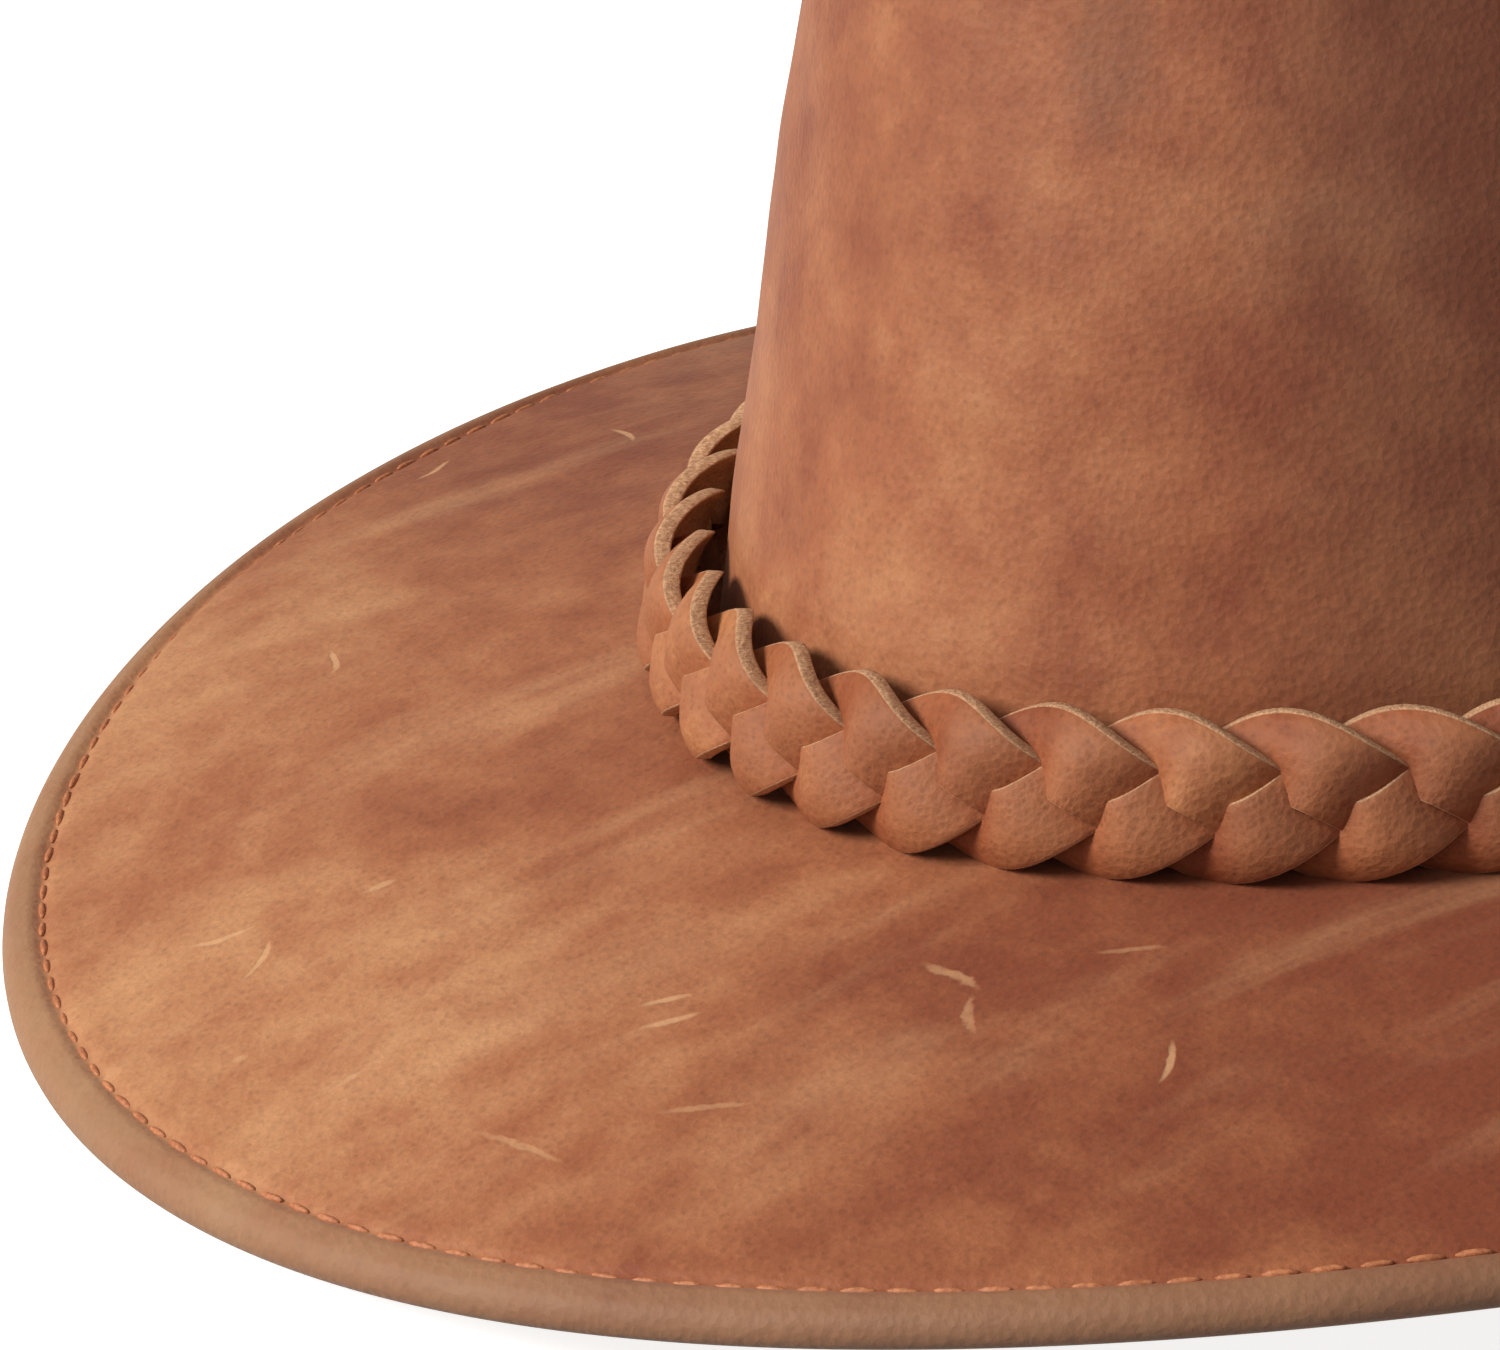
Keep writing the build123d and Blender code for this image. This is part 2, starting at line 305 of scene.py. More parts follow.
# A long thin spot, 1 in its middle and 0 outside, in the place's own x and y.
def thinSpot(finish, offset, turn, longHalf, shortHalf, bend, uneven, soft):
    inputs = {"Vector": offset, "Angle": turn}
    turned = finish.node("ShaderNodeVectorRotate", {"rotation_type": "Z_AXIS"}, inputs)
    x, y, _ = finish.parts(turned.outputs[0])
    along = x / longHalf
    across = y / shortHalf + along * along * bend + uneven
    return 1.0 - (along * along + across * across).ramp(soft, 1.0)


# Short pale marks: one thin worn streak in some cells, each turned its own way.
def scuffs(finish, place, settings):
    inputs = {"Vector": place, "Scale": settings["scuff"], "Randomness": 1.0}
    made = finish.node("ShaderNodeTexVoronoi", {"voronoi_dimensions": "2D"}, inputs)
    inputs = {0: place, 1: made.outputs["Position"]}
    offset = finish.node("ShaderNodeVectorMath", {"operation": "SUBTRACT"}, inputs)
    draw = finish.node("ShaderNodeSeparateColor", None, {0: made.outputs["Color"]})
    turn = finish.value(draw.outputs[0]) * 2.2
    uneven = (finish.noise(place, 160.0, 3.0, 0.6) - 0.5) * 2.4
    sizes = (settings["scuffLong"], settings["scuffShort"])
    shape = thinSpot(finish, offset.outputs[0], turn, *sizes, 1.5, uneven, 0.15)
    chance = settings["scuffChance"]
    return shape * finish.value(draw.outputs[1]).ramp(1 - chance, 1.001 - chance)


# One worn streak at a place on the hat seen from above, sizes in millimetres.
def mark(finish, x, y, turn, longHalf, shortHalf, bend=0.0, ragged=0.5):
    middle = (x * mm, y * mm, 0.0)
    offset = finish.node("ShaderNodeVectorMath", {"operation": "SUBTRACT"}, {0: finish.place, 1: middle})
    uneven = (finish.noise(finish.place, 420.0, 3.0, 0.6) - 0.5) * ragged * 3.0
    return thinSpot(finish, offset.outputs[0], -turn, longHalf * mm, shortHalf * mm, bend, uneven, 0.1)


# Waxed hide: broad mottling, streaks, fine grain, pale scuffs, a painted light slope that lightens the hide
# toward the front-left where the key light falls, smudges and, on the brim, a rubbed rim.
def leather(name, settings, rim=None, marks=()):
    finish = Finish(name)
    here = finish.place
    drawn = finish.stretched(here, settings["broadStretch"], settings["streakTurn"])
    broad = finish.noise(drawn, settings["broad"], 4.0, 0.55, 0.6)
    patch = finish.noise(here, settings["patch"], 5.0, 0.6, 0.3)
    pulled = finish.stretched(here, settings["streakStretch"], settings["streakTurn"])
    streak = finish.noise(pulled, settings["streak"], 5.0, 0.6, 0.4)
    speck = finish.noise(here, settings["speck"], 3.0, 0.7)
    mottle = finish.noise(here, settings["mottle"], 6.0, 0.68, 0.2)
    tone = broad * 0.38 + patch * 0.30 + mottle * 0.32
    x, y, z = finish.parts(here)
    # Painted light: the tone is raised toward the front-left, where the key light falls, and changed with
    # height where that is set.
    paintedLightX, paintedLightY, paintedLightZ, offset = settings["paintedLightSlope"]
    tone = tone + (x * paintedLightX + y * paintedLightY) + z * paintedLightZ + offset
    colour = finish.mix(tone.ramp(0.36, 0.56), settings["dark"], settings["middle"])
    colour = finish.mix(tone.ramp(0.50, 0.72), colour, settings["light"])
    colour = finish.mix(streak.ramp(0.52, 0.78) * settings["streakAmount"], colour, settings["pale"])
    pores = finish.cells(here, settings["grain"] * 0.8).ramp(0.05, 0.5)
    shade = speck * settings["speckAmount"] + pores * 0.16 + (0.9 - settings["speckAmount"] * 0.5)
    colour = finish.shaded(colour, shade)
    worn = scuffs(finish, here, settings)
    for *shape, strength in marks:
        worn = worn.sum("MAXIMUM", worn, mark(finish, *shape) * strength)
    # Smudges in the smoke colour: a real smoky mark, and where set a broad patch of painted shade on the side
    # dent.
    for *shape, strength in settings.get("smudgesAndDentShade", ()):
        colour = finish.mix(mark(finish, *shape, 0.0, 0.25) * strength, colour, settings["smokeAndShade"])
    colour = finish.mix(worn * 0.75, colour, settings["pale"])
    grain = finish.cells(here, settings["grain"])
    folds = finish.noise(here, settings["grain"] * 0.35, 4.0, 0.6)
    height = grain * 0.5 + folds * 0.6 + speck * 0.35 - worn * 0.4
    rough = 0.60 - tone * 0.08 + speck * 0.12 + worn * 0.12
    if rim:
        rubbed = finish.value(finish.attribute(rim))
        colour = finish.mix(rubbed * (0.35 + mottle * 0.5), colour, settings["rubbed"])
    finish.set(Base_Color=colour, Roughness=rough, Specular_IOR_Level=0.32)
    finish.set(Sheen_Weight=settings["sheen"], Sheen_Roughness=0.45, Sheen_Tint=(1.0, 0.78, 0.62, 1.0))
    finish.set(Normal=finish.bump(height, settings["bump"] * mm, 0.65))
    return finish


hideSettings = {
    "dark": (0.205, 0.046, 0.018),
    "middle": (0.345, 0.115, 0.046),
    "light": (0.51, 0.245, 0.112),
    "pale": (0.62, 0.34, 0.17),
    "rubbed": (0.27, 0.155, 0.085),
    "broad": 9.0,
    "broadStretch": (1.0, 0.55, 1.0),
    "patch": 24.0,
    "mottle": 95.0,
    "streak": 26.0,
    "streakStretch": (1.6, 0.35, 1.0),
    "streakTurn": 0.25,
    "streakAmount": 0.42,
    "speck": 1900.0,
    "speckAmount": 0.5,
    "scuff": 48.0,
    "scuffLong": 0.0045,
    "scuffShort": 0.0006,
    "scuffChance": 0.16,
    "grain": 900.0,
    "bump": 0.3,
    "sheen": 0.15,
    # Colour of the smoky mark and of the painted dent shade.
    "smokeAndShade": (0.115, 0.062, 0.035),
}
# Each mark: x, y, turn, half length, half width, bend, raggedness and strength.
brimMarks = (
    (37.1, -138.7, 1.1, 3.4, 0.7, 0.2, 0.3, 1.0),
    (41.6, -140.4, 1.15, 3.9, 0.8, -0.2, 0.3, 1.0),
    (58.0, -113.5, 0.2, 5.5, 0.9, 0.8, 0.8, 0.7),
    (66.5, -116.5, -0.5, 4.5, 0.8, -0.9, 0.9, 0.6),
    (50.0, -163.0, 0.3, 8.0, 0.6, 0.4, 0.6, 0.55),
    (60.0, -145.6, 0.9, 6.0, 0.7, 0.3, 0.6, 0.55),
    (67.5, -96.5, 1.0, 4.5, 0.7, 0.2, 0.6, 0.5),
    (-14.9, -150.3, 1.3, 2.4, 0.9, 0.4, 0.5, 0.8),
    (4.8, -177.0, 0.9, 1.2, 0.8, 0.0, 0.6, 0.6),
    (20.6, -170.2, 1.6, 1.6, 0.7, 0.0, 0.6, 0.6),
)
# Brim: painted light, the hide lighter toward the front and left where the key light falls.
brimSettings = dict(hideSettings, paintedLightSlope=(-0.75, -1.3, 0.0, -0.165))
brimHide = leather("brimHide", brimSettings, rim="rim", marks=brimMarks)
# Crown: painted light, lighter toward the front-left, and painted shade darkening it higher up toward the
# dented top. The broad second smudge is painted shade on the side dent; the small first one is a smoky mark.
crownSettings = dict(
    hideSettings,
    paintedLightSlope=(-0.9, -1.0, -0.5, -0.02),
    streakAmount=0.2,
    scuffChance=0.08,
    speck=1700.0,
    smudgesAndDentShade=((34.0, -81.0, 0.6, 7.0, 2.5, 0.22), (62.0, -50.0, 0.9, 30.0, 20.0, 0.28)),
)
crownHide = leather("crownHide", crownSettings)
print("materials ready")


# Stitches: a row of thread grains set along a path, each with the surface under it as its floor.
stitch = {"pitch": 4.9, "length": 3.9, "width": 0.9, "height": 0.9, "sink": 0.3, "seed": 7}


def stitchTree():
    tree = bpy.data.node_groups.new("stitchRow", "GeometryNodeTree")
    sockets = (
        ("Path", "INPUT", "NodeSocketGeometry"),
        ("Pitch", "INPUT", "NodeSocketFloat"),
        ("Length", "INPUT", "NodeSocketFloat"),
        ("Width", "INPUT", "NodeSocketFloat"),
        ("Height", "INPUT", "NodeSocketFloat"),
        ("Seed", "INPUT", "NodeSocketInt"),
        ("Thread", "INPUT", "NodeSocketMaterial"),
        ("Row", "OUTPUT", "NodeSocketGeometry"),
    )
    for name, way, kind in sockets:
        tree.interface.new_socket(name, in_out=way, socket_type=kind)

    def node(kind, settings=None, inputs=None):
        return addNode(tree, kind, settings, inputs)

    given = node("NodeGroupInput")
    line = node("GeometryNodeMeshToCurve", None, {0: given.outputs["Path"]})
    inputs = {0: line.outputs[0], "Length": given.outputs["Pitch"]}
    spaced = node("GeometryNodeResampleCurve", {"mode": "LENGTH"}, inputs)
    grain = node("GeometryNodeMeshUVSphere", None, {"Segments": 10, "Rings": 7, "Radius": 0.5})
    smooth = node("GeometryNodeSetShadeSmooth", None, {0: grain.outputs[0]})
    tangent = node("GeometryNodeInputTangent")
    outward = node("GeometryNodeInputNamedAttribute", {"data_type": "FLOAT_VECTOR"}, {"Name": "outward"})
    ahead = node("FunctionNodeAlignRotationToVector", {"axis": "X"}, {"Vector": tangent.outputs[0]})
    upright = node(
        "FunctionNodeAlignRotationToVector",
        {"axis": "Z", "pivot_axis": "X"},
        {"Rotation": ahead.outputs[0], "Vector": outward.outputs[0]},
    )
    inputs = {0: (-0.05, -0.06, -0.07), 1: (0.05, 0.06, 0.07), "Seed": given.outputs["Seed"]}
    sway = node("FunctionNodeRandomValue", {"data_type": "FLOAT_VECTOR"}, inputs)
    inputs = {0: upright.outputs[0], 1: sway.outputs[0]}
    turned = node("FunctionNodeRotateRotation", {"rotation_space": "LOCAL"}, inputs)
    inputs = {2: 0.9, 3: 1.08, "Seed": given.outputs["Seed"]}
    vary = node("FunctionNodeRandomValue", {"data_type": "FLOAT"}, inputs)
    inputs = {index: given.outputs[name] for index, name in enumerate(("Length", "Width", "Height"))}
    size = node("ShaderNodeCombineXYZ", None, inputs)
    inputs = {0: size.outputs[0], "Scale": vary.outputs[1]}
    scaled = node("ShaderNodeVectorMath", {"operation": "SCALE"}, inputs)
    inputs = {"Points": spaced, "Instance": smooth, "Rotation": turned, "Scale": scaled}
    inputs = {key: made.outputs[0] for key, made in inputs.items()}
    placed = node("GeometryNodeInstanceOnPoints", None, inputs)
    real = node("GeometryNodeRealizeInstances", None, {0: placed.outputs[0]})
    inputs = {"Geometry": real.outputs[0], "Material": given.outputs["Thread"]}
    dressed = node("GeometryNodeSetMaterial", None, inputs)
    node("NodeGroupOutput", None, {0: dressed.outputs[0]})
    return tree


rowTree = stitchTree()


# Grows one row of stitches and leaves it as a plain mesh.
def stitchRow(name, points, outward, closed, nodes=(), seed=stitch["seed"]):
    points = points + outward * (stitch["height"] * 0.28 - stitch["sink"])
    mesh = bpy.data.meshes.new(name)
    edges = [(i, i + 1) for i in range(len(points) - 1)]
    if closed:
        edges.append((len(points) - 1, 0))
    mesh.from_pydata((points * mm).tolist(), edges, [])
    layer = mesh.attributes.new("outward", "FLOAT_VECTOR", "POINT")
    layer.data.foreach_set("vector", outward.astype(np.float32).ravel())
    row = bpy.data.objects.new(name, mesh)
    scene.collection.objects.link(row)
    grow = row.modifiers.new("stitches", "NODES")
    grow.node_group = rowTree
    values = {key.capitalize(): stitch[key] * mm for key in ("pitch", "length", "width", "height")}
    values.update({"Seed": seed, "Thread": thread})
    for item in rowTree.interface.items_tree:
        if item.in_out == "INPUT" and item.name in values:
            grow[item.identifier] = values[item.name]
    applyModifiers(row)
    finishPiece(row, None, "hat", nodes)


threadFinish = Finish("waxedThread")
twist = threadFinish.noise(threadFinish.place, 1500.0, 2.0, 0.6)
threadColour = threadFinish.mix(twist.ramp(0.3, 0.7), (0.36, 0.115, 0.045), (0.55, 0.21, 0.09))
threadFinish.set(Base_Color=threadColour, Roughness=0.5 + twist * 0.15, Specular_IOR_Level=0.4)
threadFinish.set(Normal=threadFinish.bump(twist, 0.12 * mm, 0.6))
thread = threadFinish.material


# Brim: the top leather turns up inside the crown and rolls round the rim's wire as a hem.
brim = {
    "topThickness": 1.8,
    "underTop": 1.9,
    "underFoot": 3.3,
    "hemWidth": 8.0,
    "rollRadius": 2.25,
    "stitchInset": 5.0,
    "grooveDepth": 0.55,
    "grooveHalfWidth": 0.9,
    "puff": 0.35,
    "puffInset": 3.1,
    "collarInset": 1.95,
    "collarThickness": 1.1,
    "collarRise": 9.0,
    "turns": 560,
    "unevenness": 0.55,
}


# x, y on the brim at a distance in from the rim.
def brimStation(turn, inset):
    footX, footY, _ = wallFoot(turn)
    rimX = hat["brimHalfWidth"] * np.cos(turn)
    rimY = hat["brimHalfLength"] * np.sin(turn)
    share = inset / np.hypot(rimX - footX, rimY - footY)
    return rimX + (footX - rimX) * share, rimY + (footY - rimY) * share


# The leather's own unevenness, none at the crown and the rim's edge.
def brimLift(x, y, inset):
    spots = stack(x, y, 0 * x)
    calm = np.clip(inset / 12, 0, 1) * np.clip((78 - inset) / 25, 0, 1)
    return calm * (brim["unevenness"] * waves(spots, 95.0, 3) + 0.12 * waves(spots, 22.0, 4))


def rimDip(inset):
    groove = brim["grooveDepth"] * np.exp(-(((inset - brim["stitchInset"]) / brim["grooveHalfWidth"]) ** 2))
    puff = brim["puff"] * np.exp(-(((inset - brim["puffInset"]) / 1.1) ** 2))
    return puff - groove


# Lines round the brim at pairs of an inset and a depth under its face.
def brimLines(turn, steps):
    lines = []
    for inset, depth in steps:
        x, y = brimStation(turn, inset)
        lines.append(stack(x, y, brimHeight(x, y) - depth))
    return lines


# Lines of the brim's broad face, from the crown's foot out to the hem.
def brimFace(turn, footInset, edgeInset, depth, shares):
    lines = []
    footX, footY, _ = wallFoot(turn, footInset)
    edgeX, edgeY = brimStation(turn, edgeInset)
    for share in shares:
        x = edgeX + (footX - edgeX) * share
        y = edgeY + (footY - edgeY) * share
        inset = np.hypot(hat["brimHalfWidth"] * np.cos(turn) - x, hat["brimHalfLength"] * np.sin(turn) - y)
        lines.append(stack(x, y, brimHeight(x, y) - depth + brimLift(x, y, inset)))
    return lines


turns = np.linspace(0, 2 * pi, brim["turns"], endpoint=False)
rows = brimFace(turns, brim["collarInset"], brim["hemWidth"] + 0.8, 0.0, np.linspace(1, 0, 44))
for inset in (8.0, 7.2, 6.6, 6.1, 5.7, 5.3, 5.0, 4.7, 4.3, 3.9, 3.4, 2.9):
    x, y = brimStation(turns, inset)
    rows.append(stack(x, y, brimHeight(x, y) + brimLift(x, y, inset) + rimDip(inset)))
rollHalf = brim["rollRadius"]
for angle in np.radians(np.linspace(90, -90, 13)):
    x, y = brimStation(turns, rollHalf - rollHalf * cos(angle))
    depth = hat["brimDepth"] / 2 - (hat["brimDepth"] / 2 + 0.05) * sin(angle)
    rows.append(stack(x, y, brimHeight(x, y) - depth))
# The hem's underside with its stitch line, its cut edge, and the fold round the wire.
hemUnder = ((3.4, 4.6), (4.5, 4.55), (5.0, 4.45), (5.5, 4.55), (6.5, 4.6), (7.6, 4.55), (8.0, 4.35))
hemEdge = ((8.05, 3.9), (8.0, 3.42), (6.0, 3.4), (3.2, 3.4))
hemFold = ((2.2, 3.0), (1.9, 2.4), (2.2, 1.95), (3.2, 1.8), (brim["hemWidth"], brim["topThickness"]))
rows += brimLines(turns, hemUnder + hemEdge + hemFold)
for share in (0.25, 0.5, 0.75):
    inset = brim["hemWidth"] + share * 60
    x, y = brimStation(turns, inset)
    rows.append(stack(x, y, brimHeight(x, y) - brim["topThickness"] + brimLift(x, y, inset + 0 * turns)))
outer, inner, top = brim["collarInset"], brim["collarInset"] + brim["collarThickness"], brim["collarRise"]
collar = ((3.0, -1.8), (inner, 2.0), (inner, top - 0.3), (inner - 0.25, top))
collar += ((outer + 0.25, top), (outer, top - 0.3), (outer, 2.0), (outer, 0.6))
for inset, rise in collar:
    rows.append(stack(*wallFoot(turns, inset, rise)))
points = np.array(rows)
faces = gridFaces(len(rows), len(turns), True, True)
reachX = points[..., 0] / hat["brimHalfWidth"]
reachY = points[..., 1] / hat["brimHalfLength"]
nearRim = np.clip((np.hypot(reachX, reachY) - 0.972) / 0.012, 0, 1).ravel()
brimTop = makePiece("brimTop", points.reshape(-1, 3), faces, (("rim", nearRim),))
finishPiece(brimTop, brimHide.material, "hat", ("brim_top",))
print("brim top", len(faces))

rows = brimFace(turns, 3.2, 3.4, brim["underFoot"], np.linspace(1, 0, 26))
raised = np.array([0, 0, brim["underFoot"] - brim["underTop"]])
rows += [row + raised for row in rows[::-5][:-1]] + [rows[0] + raised]
points = np.array(rows)
brimUnder = makePiece("brimUnder", points.reshape(-1, 3), gridFaces(len(rows), len(turns), True, True))
finishPiece(brimUnder, brimHide.material, "hat", ("brim_under",))

x, y = brimStation(turns, brim["stitchInset"])
rowPoints = stack(x, y, brimHeight(x, y) - brim["grooveDepth"])
slopeX = 2 * hat["sideDrop"] * x / hat["brimHalfWidth"] ** 2
slopeY = 2 * hat["frontDrop"] * y / hat["brimHalfLength"] ** 2
outward = stack(slopeX, slopeY, 1 + 0 * x)
outward /= np.linalg.norm(outward, axis=1)[:, None]
stitchRow("rimStitchesTop", rowPoints, outward, True, ("rim_stitches",))
rowPoints = stack(x, y, brimHeight(x, y) - hat["brimDepth"] + 0.15)
stitchRow("rimStitchesUnder", rowPoints, -outward, True, seed=8)
print("rim stitched")


# Crown: a side piece closed by a seam at the back, and a tip sewn on along the rounded shoulder.
crown = {
    "thickness": 1.8,
    "roundStart": 8.0,
    "seamShare": 0.42,
    "unevenness": 0.5,
    "seamDip": 0.7,
    "seamPuff": 0.35,
    "backSeamDip": 0.6,
    "tipStitchInset": 3.4,
    "backStitchInset": 3.5,
    "wallRows": 64,
    "shoulderRows": 24,
    "tipRows": 43,
    "tipReach": 0.86,
}


# Lines round the crown from its foot, over the shoulder and in to the middle of the tip.
def crownRows(turn):
    rows = []
    _, _, footZ = wallFoot(turn)
    footLevel = footZ - brimLevel
    edgeY = (hat["crownHalfLength"] - leanAt(hat["crownHeight"])) * np.sin(turn)
    topLevel = rimHeight(edgeY) - brimLevel - crown["roundStart"]
    for share in np.linspace(0, 1, crown["wallRows"]):
        level = footLevel + (topLevel - footLevel) * share
        x, y = wallPoint(turn, level)
        rows.append(stack(x, y, brimLevel + level))
    start = rows[-1]
    lift = topLevel + crown["roundStart"] * 1.25
    x, y = wallPoint(turn, lift)
    corner = stack(x, y, brimLevel + lift)
    x, y = x * crown["tipReach"], y * crown["tipReach"]
    end = stack(x, y, tipHeight(x, y))
    shares = np.linspace(0, 1, crown["shoulderRows"] + 1)[1:]
    for share in shares:
        rows.append(start * (1 - share) ** 2 + corner * 2 * share * (1 - share) + end * share**2)
    seamRow = crown["wallRows"] + int(np.argmin(np.abs(shares - crown["seamShare"])))
    for share in np.linspace(1, 0, crown["tipRows"] + 1)[1:]:
        x, y = end[..., 0] * share, end[..., 1] * share
        rows.append(stack(x, y, tipHeight(x, y)))
    return np.array(rows), seamRow


backTurns = pi / 2 + np.linspace(0, 2 * pi, 401)
rows, seamRow = crownRows(backTurns)
normals = np.cross(np.gradient(rows, axis=1), np.gradient(rows, axis=0))
normals /= np.maximum(np.linalg.norm(normals, axis=-1), 1e-9)[..., None]
heightAbove = np.clip((rows[..., 2] - rows[0][..., 2]) / 30, 0, 1)
swell = (crown["unevenness"] * waves(rows, 60.0, 11) + 0.16 * waves(rows, 17.0, 12)) * heightAbove
nearSeam = np.linalg.norm(rows - rows[seamRow], axis=-1)
swell -= crown["seamDip"] * np.exp(-((nearSeam / 1.3) ** 2))
swell += crown["seamPuff"] * np.exp(-(((nearSeam - 3.2) / 1.8) ** 2))
nearBackSeam = np.abs(rows[..., 0]) + 60 * (rows[..., 1] < 0)
belowTip = (np.arange(len(rows)) < seamRow)[:, None]
swell -= crown["backSeamDip"] * np.exp(-((nearBackSeam / 1.2) ** 2)) * belowTip
shaped = rows + normals * swell[..., None]
side = shaped[: seamRow + 1]
side[:, 0, 0] -= 0.12
side[:, -1, 0] += 0.12
faces = gridFaces(len(side), len(backTurns), False, False)
crownSide = makePiece("crownSide", side.reshape(-1, 3), faces, centre=(0, 0, 60))
tip = shaped[seamRow:, :-1]
tipCount = len(tip) - 1
points = np.concatenate([tip[:-1].reshape(-1, 3), tip[-1][:1]])
ring = np.arange(len(backTurns) - 1)
faces = gridFaces(tipCount, len(backTurns) - 1, False, True)
last = (tipCount - 1) * len(ring)
hub = np.stack([last + ring, np.full_like(ring, len(points) - 1), last + (ring + 1) % len(ring)], axis=-1)
crownTip = makePiece("crownTip", points, faces, fan=hub, centre=(0, 0, 60))


# The unfinished back of the hide.
def fleshSide():
    finish = Finish("fleshSide")
    nap = finish.noise(finish.place, 900.0, 4.0, 0.75)
    cloud = finish.noise(finish.place, 45.0, 4.0, 0.6)
    colour = finish.mix(cloud.ramp(0.3, 0.7), (0.30, 0.155, 0.085), (0.44, 0.25, 0.145))
    colour = finish.mix(nap.ramp(0.35, 0.75) * 0.35, colour, (0.58, 0.38, 0.24))
    finish.set(Base_Color=colour, Roughness=0.85 + nap * 0.1, Specular_IOR_Level=0.2)
    finish.set(Sheen_Weight=0.35, Sheen_Roughness=0.5)
    finish.set(Normal=finish.bump(nap + cloud * 0.4, 0.35 * mm, 0.7))
    return finish.material


flesh = fleshSide()
for piece, cadNode in ((crownSide, "crown_side"), (crownTip, "crown_tip")):
    thicken = piece.modifiers.new("leather", "SOLIDIFY")
    thicken.thickness = crown["thickness"] * mm
    thicken.offset = -1
    piece.data.materials.append(crownHide.material)
    piece.data.materials.append(flesh)
    thicken.material_offset = 1
    applyModifiers(piece)
    finishPiece(piece, None, "hat", (cadNode,))
print("crown")


# Crown stitches: one row beside the tip's seam, and one each side of the back seam.
offset = np.linalg.norm(rows - rows[seamRow], axis=-1).mean(axis=1)
rowIndex = int(np.argmin(np.abs(offset[:seamRow] - crown["tipStitchInset"])))
path = shaped[rowIndex, :-1]
stitchRow("tipSeamStitches", path, normals[rowIndex, :-1], True, ("tip_seam_stitches",), 11)
middle = rows[crown["wallRows"] // 2]
column = int(round(crown["backStitchInset"] / np.linalg.norm(middle[1] - middle[0])))
seamFoot, seamTop = 14, rowIndex - 2  # above the band, and clear of the tip's row
backRows = (
    ("backSeamLeft", column, ("back_seam_stitches",), 12),
    ("backSeamRight", -1 - column, (), 13),
)
for name, index, nodes, seed in backRows:
    path = shaped[seamFoot:seamTop, index]
    stitchRow(name, path, normals[seamFoot:seamTop, index], False, nodes, seed)


# Lining: the sweatband with its reed and join, and the tape over the back seam.
# Low and high are above the brim, inset is in from the crown's outside, share is how far round it goes.
strips = {
    "sweatband": {"inset": 3.2, "thickness": 1.2, "low": 0.3, "high": 32.0, "share": 1.0, "bulge": 0.25},
    "sweatbandReed": {"inset": 4.45, "thickness": 0.9, "low": 0.2, "high": 3.2, "share": 1.0, "bulge": 0.7},
    "sweatbandJoinTab": {"inset": 4.5, "thickness": 1.0, "low": 12, "high": 28, "share": 0.0325, "bulge": 0.15},
    "crownSeamTape": {"inset": 1.9, "thickness": 1.0, "low": 9.2, "high": 98, "share": 0.0255, "bulge": 0.1},
}


def innerStrip(name, material, cadNode):
    strip = strips[name]
    low, high, share, inset = strip["low"], strip["high"], strip["share"], strip["inset"]
    whole = share > 0.9
    columns = max(9, int(420 * share))
    turn = pi / 2 + np.linspace(-pi, pi, columns) * share + pi * whole
    heights = np.linspace(low, high, max(3, int((high - low) / 1.6)))
    lines = [stack(*wallFoot(turn, inset, rise)) for rise in heights]
    for rise in heights[::-1]:
        bulge = strip["bulge"] * sin(pi * (rise - low) / (high - low))
        lines.append(stack(*wallFoot(turn, inset + strip["thickness"] + bulge, rise)))
    lines = np.array(lines)
    if whole:
        lines[:, 0, 0] -= 0.15
        lines[:, -1, 0] += 0.15
    caps = []
    for i in range(len(heights) - 1):
        pair = [i, i + 1, len(lines) - 2 - i, len(lines) - 1 - i]
        caps.append([a * columns for a in pair])
        caps.append([a * columns + columns - 1 for a in pair[::-1]])
    faces = np.concatenate([gridFaces(len(lines), columns, True, False), np.array(caps)[:, ::-1]])
    piece = makePiece(name, lines.reshape(-1, 3), faces)
    finishPiece(piece, material, "hat", (cadNode,))


def liningLeather():
    finish = Finish("liningLeather")
    cloud = finish.noise(finish.place, 30.0, 4.0, 0.6)
    pores = finish.cells(finish.place, 1300.0)
    colour = finish.mix(cloud.ramp(0.3, 0.7), (0.155, 0.062, 0.030), (0.235, 0.105, 0.052))
    worn = finish.noise(finish.stretched(finish.place, (1.0, 1.0, 5.0)), 60.0, 4.0, 0.6).ramp(0.55, 0.8)
    colour = finish.mix(worn * 0.4, colour, (0.33, 0.17, 0.09))
    finish.set(Base_Color=colour, Roughness=0.40 + cloud * 0.15, Specular_IOR_Level=0.4)
    finish.set(Coat_Weight=0.08, Coat_Roughness=0.4)
    finish.set(Normal=finish.bump(pores * 0.6 + cloud * 0.3, 0.1 * mm, 0.5))
    return finish.material


